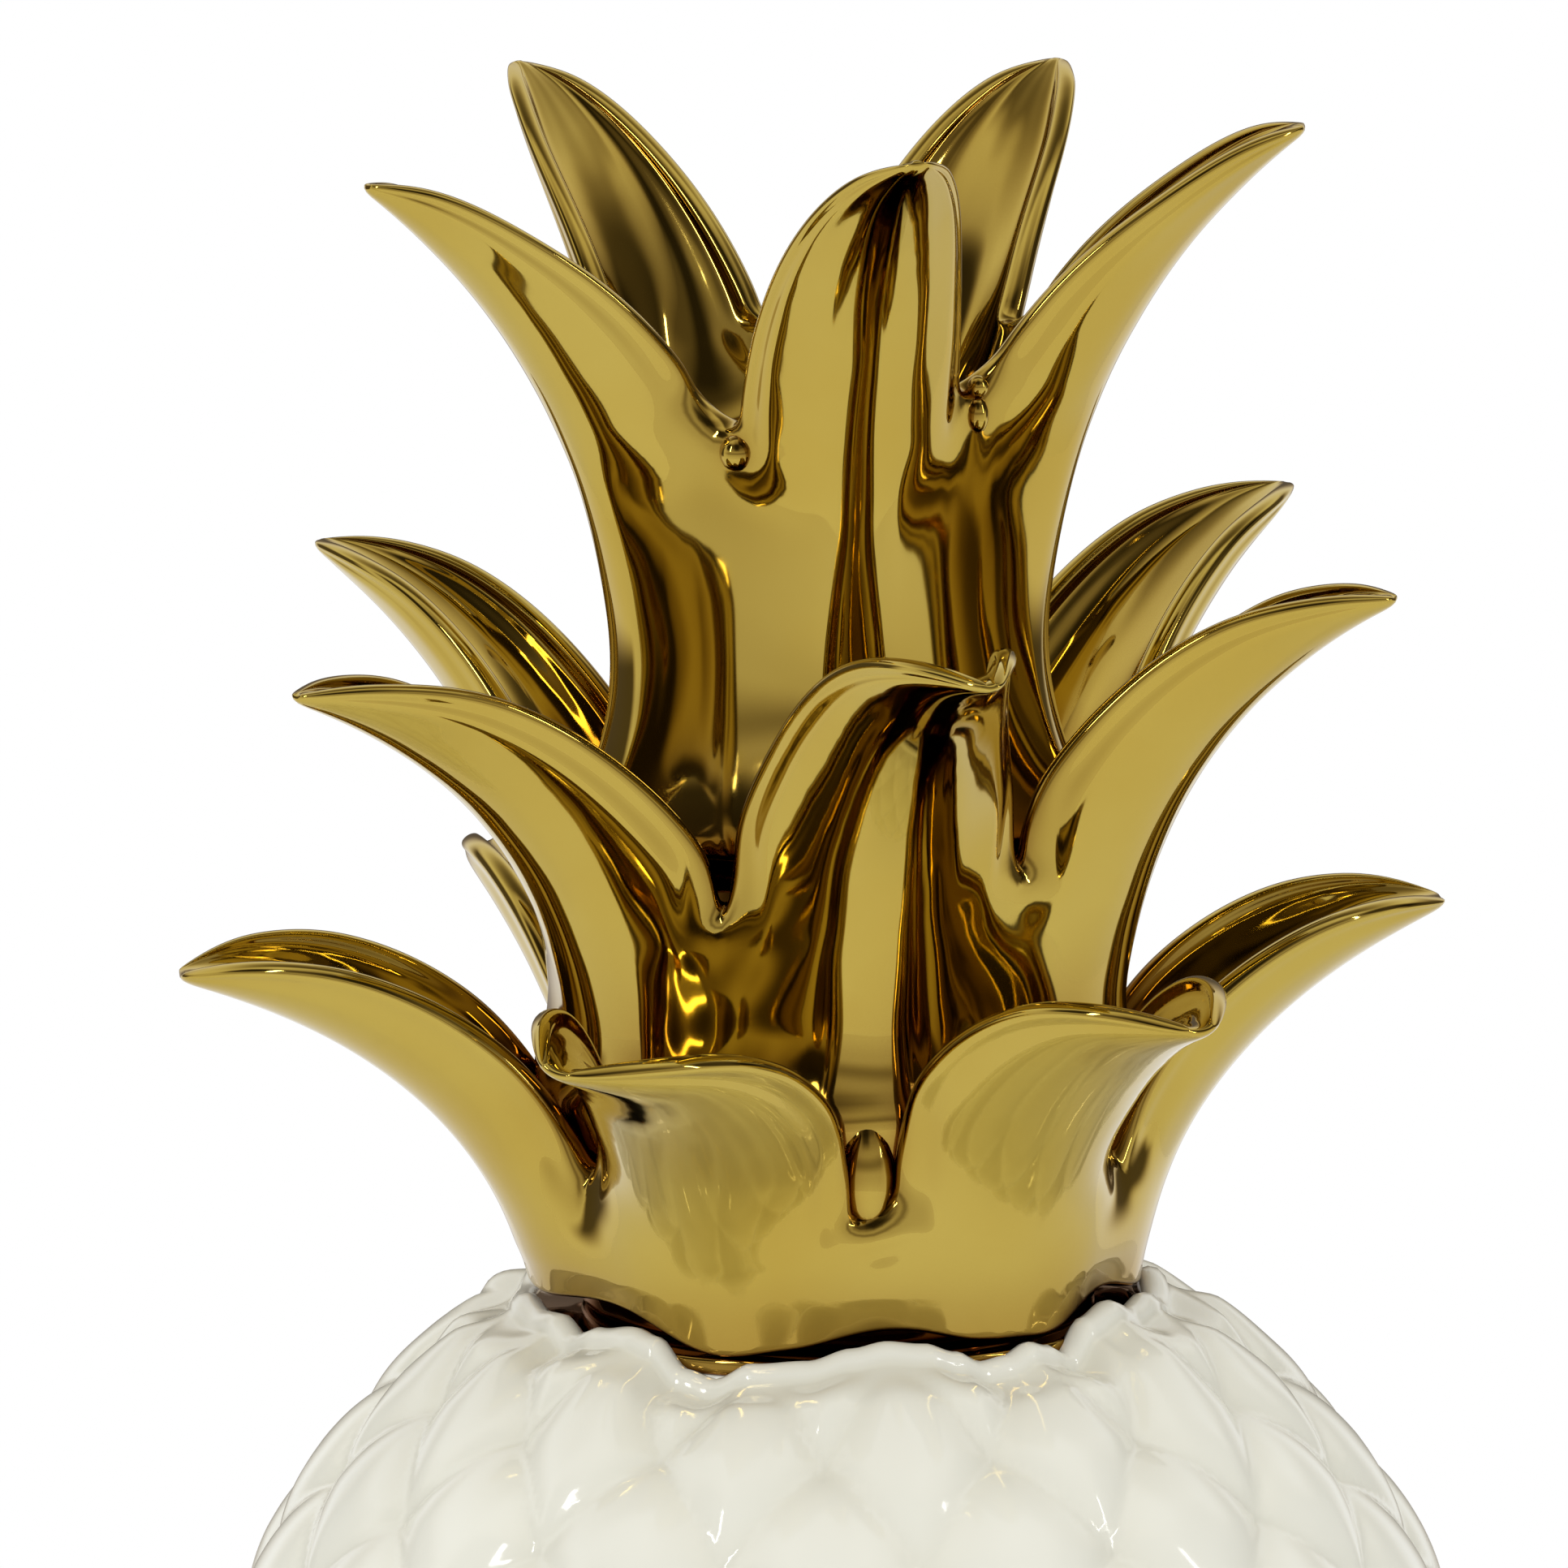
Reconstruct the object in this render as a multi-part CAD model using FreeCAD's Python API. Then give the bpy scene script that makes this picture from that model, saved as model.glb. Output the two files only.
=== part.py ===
import FreeCAD, Part

import math
import os
from collections import namedtuple

from FreeCAD import Vector

# A glazed ceramic jar in the form of a pineapple, with a lift-off lid that is the fruit's crown of leaves.
# The jar stands on a foot ring at height zero, and the fruit's axis is the vertical through the origin.
# The lid is a flange with a locating spigot, a hollow stepped core on it, and three tiers of cupped leaves
# luted round the core. Lengths are in millimetres, angles in degrees.
# A heading of 0 faces the viewer (minus Y), and headings grow towards plus X.

# Jar, its height taken to the seat that the lid's flange rests on, with a low collar round the seat
jar_height = 164.0
jar_girth_r = 76.0
jar_girth_height = 81.0
jar_neck_r = 37.4
jar_foot_r = 40.0
jar_wall = 5.0
mouth_r = 27.0
seat_r = 35.0
collar_drop = 0.4
foot_band = 4.0
foot_inset = 1.6
foot_ring_width = 6.0
foot_recess = 2.0
scale_relief = 3.2
scale_least_height = 8.6

# Lid: flange, spigot and core
flange_thickness = 2.0
spigot_depth = 10.0
spigot_wall = 4.0
lid_play = 0.5
core_wall = 3.0
cup_floor = 18.0

# Lower tier: how far its axis lies to one side, radius round the leaf backs, tip radius, tip height over
# the tier's foot, then leaf sizes
lower_aside = -0.5
lower_tube_r = 34.6
lower_reach = 72.0
lower_rise = 40.0
lower_width = 38.0
lower_cup = 12.0
lower_wall = 5.5

# Middle tier
middle_step = 20.0
middle_aside = 0.0
middle_tube_r = 32.0
middle_reach = 70.0
middle_rise = 62.0
middle_width = 37.0
middle_cup = 10.5
middle_wall = 4.5

# Upper tier
upper_step = 56.0
upper_aside = -0.9
upper_tube_r = 24.0
upper_reach = 55.0
upper_rise = 78.0
upper_width = 31.0
upper_cup = 7.8
upper_wall = 3.4

# Clearance left where a lower leaf passes the tube of the tier above, and the overrun of every cut
tier_play = 0.3
overrun = 1.0

# Counts, turns and shares
scale_columns = 16
scale_turn = 9.0
scale_height_share = 0.42
scale_top_share = 0.42
jar_fullness = 2.2
cavity_steps = 5
shoulder_share = 0.28
lower_leaves = 6
middle_leaves = 6
upper_leaves = 5
lower_heading = -23.0
middle_heading = 8.0
upper_heading = 7.0
leaf_rings = 7
leaf_facets = 6
turn_power = 1.5
twist_power = 2.0
curl_power = 5.0

# Along a leaf: stations from foot to tip, then width, cup depth and wall at each as shares of the tier's
# sizes, and the half angle that the section's arc turns through at each
station_shares = (0.0, 0.2, 0.4, 0.6, 0.8, 0.93, 1.0)
lower_width_shares = (0.90, 1.00, 0.80, 0.80, 0.68, 0.44, 0.10)
lower_cup_shares = (0.58, 0.71, 0.86, 0.92, 0.75, 0.38, 0.04)
lower_wall_shares = (1.00, 0.85, 0.65, 0.58, 0.51, 0.45, 0.25)
lower_angles = (45.0, 45.0, 52.0, 58.0, 58.0, 50.0, 40.0)
middle_width_shares = (0.92, 1.00, 0.89, 0.71, 0.52, 0.31, 0.06)
middle_cup_shares = (0.52, 0.76, 1.00, 0.95, 0.71, 0.32, 0.04)
middle_wall_shares = (1.00, 0.85, 0.75, 0.67, 0.58, 0.50, 0.30)
middle_angles = (40.0, 45.0, 55.0, 60.0, 60.0, 50.0, 40.0)
upper_width_shares = (0.94, 1.00, 0.82, 0.755, 0.58, 0.34, 0.07)
upper_cup_shares = (0.62, 0.66, 1.24, 1.04, 0.60, 0.30, 0.04)
upper_wall_shares = (1.00, 0.95, 0.88, 0.83, 0.72, 0.66, 0.40)
upper_angles = (36.0, 38.0, 50.0, 60.0, 60.0, 50.0, 40.0)

# The keel of a leaf is a cubic curve: its two inner control points as shares of the way out and up
lower_keel_shares = ((0.028, 0.325), (0.29, 0.75))
middle_keel_shares = ((0.0, 0.45), (0.29, 0.82))
upper_keel_shares = ((-0.005, 0.48), (0.305, 0.79))

Tier = namedtuple("Tier", "name foot_z aside tube_r reach rise width cup wall count heading keel_shares "
                  "width_shares cup_shares wall_shares angles leaves")
Leaf = namedtuple("Leaf", "tip_turn reach_share rise_share sag_share twist width_share cup_share curl")

# Each leaf was bent by hand before firing: tip turned sideways, reach, rise, sag of the keel, twist, width,
# cup depth, and a last curl of the tip
lower_leaf_bends = (
    Leaf(0.4, 0.977, 0.960, 0.000, -14.0, 1.00, 0.90, -3.0),
    Leaf(-1.7, 0.966, 1.022, 0.030, 1.0, 1.00, 0.92, 0.0),
    Leaf(2.0, 0.979, 1.050, 0.020, 0.0, 1.00, 0.79, 0.0),
    Leaf(0.5, 1.000, 1.020, 0.000, 0.0, 1.00, 1.00, 0.0),
    Leaf(-0.6, 0.945, 1.030, 0.040, 0.0, 0.90, 1.00, 0.0),
    Leaf(0.3, 1.023, 0.970, 0.035, 0.0, 1.00, 0.87, 0.0),
)
middle_leaf_bends = (
    Leaf(4.2, 0.983, 1.008, 0.016, 2.0, 1.00, 0.96, 0.0),
    Leaf(-0.1, 0.960, 1.014, -0.015, 0.0, 1.00, 0.95, 0.0),
    Leaf(1.4, 0.980, 1.040, -0.020, 0.0, 1.00, 0.86, 0.0),
    Leaf(0.0, 0.971, 1.000, 0.000, 0.0, 1.00, 1.00, 0.0),
    Leaf(-3.4, 0.927, 0.994, -0.015, 0.0, 0.96, 0.83, 0.0),
    Leaf(-2.4, 1.034, 0.905, -0.018, 4.0, 1.00, 0.96, 0.0),
)
upper_leaf_bends = (
    Leaf(4.1, 0.995, 1.023, 0.013, 5.0, 0.97, 0.84, 0.0),
    Leaf(0.3, 0.999, 0.992, 0.002, 6.0, 1.08, 1.10, 0.0),
    Leaf(-1.25, 1.004, 0.992, 0.000, 2.0, 1.00, 0.99, 0.0),
    Leaf(-2.9, 0.976, 1.008, 0.000, 0.0, 0.97, 0.92, 0.0),
    Leaf(0.75, 1.009, 0.945, -0.006, 4.5, 1.00, 1.20, 0.0),
)

# Heights and radii that follow from the sizes above
crown_z = jar_height + flange_thickness
collar_rise = flange_thickness - collar_drop
flange_r = seat_r - lid_play
middle_z = crown_z + middle_step
upper_z = crown_z + upper_step
core_lower_r = lower_tube_r - lower_wall
core_middle_r = middle_tube_r - middle_wall
core_upper_r = upper_tube_r - upper_wall
spigot_r = mouth_r - lid_play

os.makedirs("parts", exist_ok=True)


def write(name, shape):
    shape.exportStep("parts/" + name + ".step")


def around(radius, heading, height):
    """The point at this radius and height, in the direction of the heading."""
    turn = math.radians(heading)
    return Vector(radius * math.sin(turn), -radius * math.cos(turn), height)


def revolved(outline):
    """A closed outline of (radius, height) pairs, turned once round the vertical axis."""
    points = [Vector(radius, 0, height) for radius, height in outline]
    face = Part.Face(Part.makePolygon(points + points[:1]))
    return face.revolve(Vector(0, 0, 0), Vector(0, 0, 1), 360)


def flat_faces(rows):
    """Flat triangles between neighbouring rings of points, each ring closed and as long as the next."""
    faces = []
    for low, high in zip(rows, rows[1:]):
        for here in range(len(low)):
            there = (here + 1) % len(low)
            corners = (low[here], low[there], high[there], high[here])
            faces.append(Part.Face(Part.makePolygon([corners[0], corners[1], corners[2], corners[0]])))
            faces.append(Part.Face(Part.makePolygon([corners[0], corners[2], corners[3], corners[0]])))
    return faces


def solid_of(faces):
    solid = Part.Solid(Part.Shell(faces))
    if solid.Volume < 0:
        solid.reverse()
    return solid


def jar_radius(height):
    """Radius in the grooves: a full oval, drawn in to the foot below its girth and to the neck above it."""
    if height > jar_girth_height:
        end_r, span = jar_neck_r, jar_height - jar_girth_height
    else:
        end_r, span = jar_foot_r, jar_girth_height - foot_band
    drop = 1 - (end_r / jar_girth_r) ** jar_fullness
    part = abs(height - jar_girth_height) / span
    return jar_girth_r * (1 - drop * part ** jar_fullness) ** (1 / jar_fullness)


def scale_rows():
    """Heights of the rows of scales, from neck to foot, each row taller where the girth widens its scales."""
    fine = 400
    heights = [jar_height + (foot_band - jar_height) * step / fine for step in range(fine + 1)]
    travel = [0.0]
    for above, below in zip(heights, heights[1:]):
        run = math.hypot(above - below, jar_radius(above) - jar_radius(below))
        half_scale_width = math.pi * jar_radius(below) / scale_columns
        travel.append(travel[-1] + run / (scale_least_height + scale_height_share * half_scale_width))
    count = round(travel[-1])
    rows, place = [jar_height], 0
    for row in range(1, count):
        while travel[place] < travel[-1] * row / count:
            place += 1
        rows.append(heights[place])
    return rows + [foot_band]


def jar_skin():
    """The fruit's outside: staggered rows of diamond scales, each a pillow of four slopes and a flat top.
    The scales run out flat at the foot band and at the collar round the lid's seat."""
    rows = scale_rows()
    last = len(rows) - 1
    pitch = 360 / scale_columns

    def spot(row, column):
        return around(jar_radius(rows[row]), scale_turn + pitch * column, rows[row])

    def scale(row, column):
        """Four slopes from the grooves round a scale up to its top, and the top in two halves."""
        half = column + 0.5
        ring = [spot(row, column), spot(row - 1, half), spot(row, column + 1), spot(row + 1, half)]
        middle = spot(row, half)
        along_r = jar_radius(rows[row - 1]) - jar_radius(rows[row + 1])
        along_z = rows[row - 1] - rows[row + 1]
        rise = scale_relief / math.hypot(along_r, along_z)
        lift = around(along_z * rise, scale_turn + pitch * half, -along_r * rise)
        top = [middle + (corner - middle) * scale_top_share + lift for corner in ring]
        for here in range(len(ring)):
            there = (here + 1) % len(ring)
            yield ring[here], ring[there], top[there], top[here]
        yield top[0], top[1], top[3]
        yield top[1], top[2], top[3]

    outlines = []
    for row in range(1, last):
        for column in range(scale_columns):
            outlines += scale(row, column + 0.5 * (row % 2))
    for row, inward in ((0, 1), (last, last - 1)):
        for column in range(scale_columns):
            place = column + 0.5 * (row % 2)
            outlines.append((spot(row, place), spot(row, place + 1), spot(inward, place + 0.5)))
    faces = [Part.Face(Part.makePolygon([*outline, outline[0]])) for outline in outlines]
    neck, foot = ([spot(row, column + 0.5 * (row % 2)) for column in range(scale_columns)]
                  for row in (0, last))
    collar = [corner + Vector(0, 0, collar_rise) for corner in neck]
    faces += flat_faces([neck, collar])
    for rim in (collar, foot):
        faces.append(Part.Face(Part.makePolygon(rim + rim[:1])))
    return solid_of(faces)


def jar_body():
    """The hollow jar: scaled skin, foot band, cavity one wall inside the grooves, seat and round mouth."""
    foot_r = jar_foot_r - foot_inset
    foot = Part.makeCylinder(foot_r, foot_band, Vector(0, 0, 0))
    floor_z = foot_recess + jar_wall
    neck_z = jar_height - jar_wall
    cavity = [(0, neck_z), (0, floor_z)]
    for step in range(cavity_steps + 1):
        height = floor_z + (neck_z - floor_z) * step / cavity_steps
        cavity.append((max(jar_radius(height) - jar_wall, mouth_r), height))
    seat = Part.makeCylinder(seat_r, collar_rise + overrun, Vector(0, 0, jar_height))
    mouth = Part.makeCylinder(mouth_r, jar_wall + overrun + overrun, Vector(0, 0, neck_z - overrun))
    recess = Part.makeCylinder(foot_r - foot_ring_width, foot_recess + overrun, Vector(0, 0, -overrun))
    body = jar_skin().fuse(foot)
    return body.cut([revolved(cavity), seat, mouth, recess])


def lid_flange():
    """A flat ring that rests on the jar's seat, with a short tube under it that keeps the lid centred."""
    inner = spigot_r - spigot_wall
    foot_z = jar_height - spigot_depth
    return revolved([(inner, foot_z), (spigot_r, foot_z), (spigot_r, jar_height), (flange_r, jar_height),
                     (flange_r, crown_z), (inner, crown_z)])


def core_envelope():
    """The core as if it were full, which every leaf is cut against: three drums and two shoulders."""
    shoulder_z = upper_z - shoulder_share * (upper_z - middle_z)
    top_z = upper_z + cup_floor
    return revolved([(0, crown_z), (core_lower_r, crown_z), (core_lower_r, middle_z),
                     (core_middle_r, middle_z), (core_middle_r, shoulder_z), (upper_tube_r, upper_z),
                     (core_upper_r, upper_z), (core_upper_r, top_z), (0, top_z)])


def crown_core():
    """A hollow stepped core, open below: the leaves of each tier stand on a ledge and lean on its side."""
    wide, narrow = core_middle_r - core_wall, core_upper_r - core_wall
    narrow_z = upper_z - core_wall - shoulder_share * (upper_z - middle_z)
    top_z = upper_z + cup_floor - core_wall
    hollow = [(0, crown_z - overrun), (wide, crown_z - overrun), (wide, narrow_z), (narrow, narrow_z),
              (narrow, top_z), (0, top_z)]
    return core_envelope().cut(revolved(hollow))


def along(shares, s):
    """A smooth line through shares given at the stations: cubic pieces whose ends share their slope."""
    last = len(station_shares) - 1
    piece = max(i for i in range(last) if station_shares[i] <= s)

    def slope(i):
        low, high = max(i - 1, 0), min(i + 1, last)
        return (shares[high] - shares[low]) / (station_shares[high] - station_shares[low])

    step = station_shares[piece + 1] - station_shares[piece]
    t = (s - station_shares[piece]) / step
    value = shares[piece] * (1 + 2 * t) * (1 - t) ** 2 + shares[piece + 1] * t * t * (3 - 2 * t)
    return value + step * (slope(piece) * t * (1 - t) ** 2 - slope(piece + 1) * t * t * (1 - t))


def keel(tier, leaf, s):
    """A point of the keel as radius and height, and the keel's direction there, on a cubic curve."""
    out = tier.reach * leaf.reach_share - tier.tube_r
    up = tier.rise * leaf.rise_share
    first, second = tier.keel_shares
    sag = leaf.sag_share * tier.rise
    ends = ((tier.tube_r, tier.foot_z), (tier.tube_r + first[0] * out, tier.foot_z + first[1] * up),
            (tier.tube_r + second[0] * out - sag / 2, tier.foot_z + second[1] * up + sag),
            (tier.tube_r + out, tier.foot_z + up))
    place_weights = ((1 - s) ** 3, 3 * s * (1 - s) ** 2, 3 * s * s * (1 - s), s ** 3)
    slope_weights = ((1 - s) ** 2, 2 * s * (1 - s), s * s)
    place = [sum(w * end[axis] for w, end in zip(place_weights, ends)) for axis in (0, 1)]
    run = [sum(w * (after[axis] - before[axis]) for w, before, after in zip(slope_weights, ends, ends[1:]))
           for axis in (0, 1)]
    length = math.hypot(run[0], run[1])
    return place, (run[0] / length, run[1] / length)


def leaf_ring(tier, leaf, heading, s):
    """One section of a leaf, square to its keel: a cupped arc, its inner arc one wall in, rounded rims."""
    (radius, height), (run_out, run_up) = keel(tier, leaf, s)
    half = along(tier.width_shares, s) * tier.width / 2 * leaf.width_share
    cup = along(tier.cup_shares, s) * tier.cup * leaf.cup_share
    wall = along(tier.wall_shares, s) * tier.wall
    if s == 0:
        wall += overrun
    arc = math.radians(along(tier.angles, s))
    twist = math.radians(leaf.twist) * s ** twist_power
    turn = math.radians(heading + leaf.tip_turn * s ** turn_power + leaf.curl * s ** curl_power)

    def place(across, depth):
        side = half * math.sin(across * arc) / math.sin(arc) - depth * math.sin(across * arc)
        lift = cup * (1 - math.cos(across * arc)) / (1 - math.cos(arc)) + depth * math.cos(across * arc)
        side, lift = (side * math.cos(twist) - lift * math.sin(twist),
                      side * math.sin(twist) + lift * math.cos(twist))
        out = radius - lift * run_up
        return Vector(out * math.sin(turn) + side * math.cos(turn),
                      side * math.sin(turn) - out * math.cos(turn), height + lift * run_out)

    spots = [2 * step / leaf_facets - 1 for step in range(leaf_facets + 1)]
    rim = 1 + wall / (4 * half + wall)
    outer = [place(spot, 0) for spot in spots]
    inner = [place(spot, wall) for spot in reversed(spots)]
    return outer + [place(rim, wall / 2)] + inner + [place(-rim, wall / 2)]


def leaf_solid(tier, number, stops):
    """One leaf: flat faces between its sections, trimmed to its share of the tube and to what it leans on."""
    leaf = tier.leaves[number]
    heading = tier.heading + number * 360 / tier.count
    rings = [leaf_ring(tier, leaf, heading, step / leaf_rings) for step in range(leaf_rings + 1)]
    ends = [Part.Face(Part.makePolygon(ring + ring[:1])) for ring in (rings[0], rings[-1])]
    blank = solid_of(flat_faces(rings) + ends)
    spread = 180 / tier.count
    far = (tier.reach + tier.tube_r) / math.cos(math.radians(spread))
    corners = [Vector(0, 0, tier.foot_z), around(far, heading - spread, tier.foot_z),
               around(far, heading + spread, tier.foot_z)]
    wedge = Part.Face(Part.makePolygon(corners + corners[:1])).extrude(Vector(0, 0, tier.rise + tier.rise))
    grown = blank.common(wedge)
    grown.translate(Vector(tier.aside, 0, 0))
    return grown.cut(stops)


lower = Tier("lower", crown_z, lower_aside, lower_tube_r, lower_reach, lower_rise, lower_width, lower_cup,
             lower_wall, lower_leaves, lower_heading, lower_keel_shares, lower_width_shares,
             lower_cup_shares, lower_wall_shares, lower_angles, lower_leaf_bends)
middle = Tier("middle", middle_z, middle_aside, middle_tube_r, middle_reach, middle_rise, middle_width,
              middle_cup, middle_wall, middle_leaves, middle_heading, middle_keel_shares,
              middle_width_shares, middle_cup_shares, middle_wall_shares, middle_angles, middle_leaf_bends)
upper = Tier("upper", upper_z, upper_aside, upper_tube_r, upper_reach, upper_rise, upper_width, upper_cup,
             upper_wall, upper_leaves, upper_heading, upper_keel_shares, upper_width_shares,
             upper_cup_shares, upper_wall_shares, upper_angles, upper_leaf_bends)


def tier_tube(tier):
    """The room that a tier's tube takes, which the leaves of the tier below are kept out of."""
    return Part.makeCylinder(tier.tube_r + tier_play, tier.rise, Vector(tier.aside, 0, tier.foot_z))


write("jar_body", jar_body())
write("lid_flange", lid_flange())
write("crown_core", crown_core())
for tier, above in ((lower, middle), (middle, upper), (upper, None)):
    stops = [core_envelope()]
    if above:
        stops.append(tier_tube(above))
    for number in range(tier.count):
        write(tier.name + "_leaf_" + str(number + 1), leaf_solid(tier, number, stops))
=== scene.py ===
import bpy
import numpy as np
from mathutils import Matrix


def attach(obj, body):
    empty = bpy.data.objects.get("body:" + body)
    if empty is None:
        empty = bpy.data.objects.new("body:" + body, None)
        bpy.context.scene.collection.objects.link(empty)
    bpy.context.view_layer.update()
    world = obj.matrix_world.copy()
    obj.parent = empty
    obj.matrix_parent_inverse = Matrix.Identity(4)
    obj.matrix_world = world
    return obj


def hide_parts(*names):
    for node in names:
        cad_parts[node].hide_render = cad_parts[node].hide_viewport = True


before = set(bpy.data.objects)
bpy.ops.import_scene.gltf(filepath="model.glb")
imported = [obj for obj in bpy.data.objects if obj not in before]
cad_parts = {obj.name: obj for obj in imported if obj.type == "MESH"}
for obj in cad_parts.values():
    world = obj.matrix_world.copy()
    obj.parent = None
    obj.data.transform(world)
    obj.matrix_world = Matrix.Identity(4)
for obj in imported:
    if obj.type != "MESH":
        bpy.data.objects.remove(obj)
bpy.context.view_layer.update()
MM = 0.001


# ---- The jar ----
# A slip-cast stoneware jar in the form of the fruit, under a warm white glaze. Its skin is a full oval
# covered in staggered rows of pillow-shaped scales, and its collar is a thick, wavy rim round the lid's seat.

def feed(node, inputs):
    """The node, with each input that is named given its value, or linked where it is another node's output."""
    for name, source in inputs.items():
        if isinstance(source, bpy.types.NodeSocket):
            node.id_data.links.new(source, node.inputs[name])
        else:
            node.inputs[name].default_value = source
    return node


def white_glaze():
    """Warm white glaze: a glossy skin, a little darker and creamier in the grooves between the scales than on them."""
    material = bpy.data.materials.new("white_glaze")
    material.use_nodes = True
    nodes = material.node_tree.nodes
    # The colour is darker and creamier where the scales sink into their grooves, lighter on the scales
    on_scales = nodes.new("ShaderNodeAttribute")
    on_scales.attribute_name = "relief"
    tint = nodes.new("ShaderNodeMix")
    tint.data_type = "RGBA"
    feed(tint, {"Factor": on_scales.outputs["Fac"], "A": (0.77, 0.76, 0.655, 1), "B": (0.805, 0.80, 0.71, 1)})
    place = nodes.new("ShaderNodeTexCoord").outputs["Object"]
    ripple = feed(nodes.new("ShaderNodeTexNoise"), {"Vector": place, "Scale": 160, "Detail": 2})
    bump = feed(nodes.new("ShaderNodeBump"), {"Height": ripple.outputs["Fac"], "Strength": 0.06, "Distance": 0.0006})
    feed(nodes["Principled BSDF"], {"Base Color": tint.outputs["Result"], "Roughness": 0.09, "IOR": 1.52,
                                    "Normal": bump.outputs["Normal"]})
    return material


def make_piece(name, points, faces, material):
    """A mesh from points in millimetres and faces of point numbers, shaded smooth."""
    mesh = bpy.data.meshes.new(name)
    mesh.from_pydata((np.asarray(points) * MM).tolist(), [], faces)
    mesh.update()
    mesh.shade_smooth()
    mesh.materials.append(material)
    piece = bpy.data.objects.new(name, mesh)
    bpy.context.scene.collection.objects.link(piece)
    return piece


def ring_faces(rows, columns):
    """Quads between neighbouring rings of points, each ring closed, the first ring lowest on the outside."""
    numbers = np.arange(rows * columns).reshape(rows, columns)
    after = np.roll(numbers, -1, axis=1)
    quads = np.stack([numbers[:-1], after[:-1], after[1:], numbers[1:]], axis=-1)
    return quads.reshape(-1, 4).tolist()


def closed_rings(grid):
    """Rings of points (row, column, xyz) and a pole at each end: the points in one list, and all faces."""
    rows, columns = grid.shape[:2]
    points = np.concatenate([grid.reshape(-1, 3), grid[0].mean(0)[None], grid[-1].mean(0)[None]])
    first, last = rows * columns, rows * columns + 1
    column = np.arange(columns)
    after = np.roll(column, -1)
    base = (rows - 1) * columns
    faces = ring_faces(rows, columns)
    faces += np.stack([np.full(columns, first), after, column], axis=-1).tolist()
    faces += np.stack([base + column, base + after, np.full(columns, last)], axis=-1).tolist()
    return points, faces


jar_height, jar_girth_r, jar_girth_height = 164.0, 76.0, 81.0
jar_neck_r, jar_foot_r, jar_fullness = 37.4, 40.0, 2.2
jar_wall, mouth_r, seat_r = 5.0, 27.0, 35.0
foot_band, foot_inset, foot_ring_width, foot_recess = 4.0, 1.6, 6.0, 2.0
crown_z = 166.0
jar_columns, skin_rows, fine_steps, cavity_rows = 320, 226, 4000, 30
scale_columns, scale_turn, scale_relief = 16, 9.0, 2.9
least_row, row_share, faded_rows, collar_rows = 8.6, 0.42, 0.5, 1.1
collar_lip = 1.9
collar_waves = ((-90, 0.4), (-80, 2.0), (-70, 1.5), (-61, 2.0), (-55, 0.6), (-48, 1.9), (-40, 2.7), (-35, 2.0),
                (-29, -1.2), (-23, -2.0), (-16, 0.0), (-6, 0.5), (2, 1.9), (8, 2.6), (15, 2.1), (21, 0.9),
                (26, -0.5), (31, -0.2), (36, 0.9), (40, 0.2), (44, -1.0), (50, 2.3), (57, 3.4), (65, 1.7),
                (73, 2.2), (84, 0.2), (97, 1.9), (112, -1.2), (127, 2.4), (141, -0.4), (155, 1.8), (170, -1.4),
                (187, 2.2), (201, -0.8), (216, 1.6), (231, -1.2), (247, 2.3), (260, 0.2))


def jar_radius(height):
    """Radius in the grooves: an oval of power jar_fullness, drawn in to the foot and to the neck."""
    above = height > jar_girth_height
    end_r = np.where(above, jar_neck_r, jar_foot_r)
    span = np.where(above, jar_height - jar_girth_height, jar_girth_height - foot_band)
    drop = 1 - (end_r / jar_girth_r) ** jar_fullness
    part = np.abs(height - jar_girth_height) / span
    return jar_girth_r * (1 - drop * part ** jar_fullness) ** (1 / jar_fullness)


def eased(share):
    """A share of 0 to 1, eased at both ends: 3 times its square less 2 times its cube."""
    return share * share * (3 - 2 * share)


def scale_swell(column, row, arch_share=0.97, point_power=1.3, pillow_power=2.4):
    """Height of the scales, 0 to 1: the higher of the two nearest scales at each place, where a scale is a
    pillow with a round arch at its top and a point below, and every second row is half a scale aside."""
    swell = np.zeros(np.broadcast(column, row).shape)
    for near in (np.floor(row), np.floor(row) + 1):
        aside = column - 0.5 - 0.5 * (near % 2)
        across = 2 * np.abs(aside - np.round(aside))
        down = row - near
        arch = arch_share * np.sqrt(across ** 2 + down ** 2)
        point = (across ** point_power + np.abs(down) ** point_power) ** (1 / point_power)
        reach = np.where(down < 0, arch, point)
        swell = np.maximum(swell, 1 - reach ** pillow_power)
    return swell


def wavy_edge(waves, heading):
    """Height of a wavy edge at headings of -180 to 180 degrees, a smooth closed line through its waves."""
    spots, rises = np.array(waves).T
    spots = np.concatenate([spots - 360, spots, spots + 360])
    rises = np.tile(rises, 3)
    place = np.clip(np.searchsorted(spots, heading) - 1, 0, len(spots) - 2)
    part = (heading - spots[place]) / (spots[place + 1] - spots[place])
    part = eased(part)
    return rises[place] * (1 - part) + rises[place + 1] * part


heading = np.radians(np.arange(jar_columns) * 360 / jar_columns)
turned = (np.degrees(heading) + 180) % 360 - 180
wave = wavy_edge(collar_waves, turned)[None]

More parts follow.
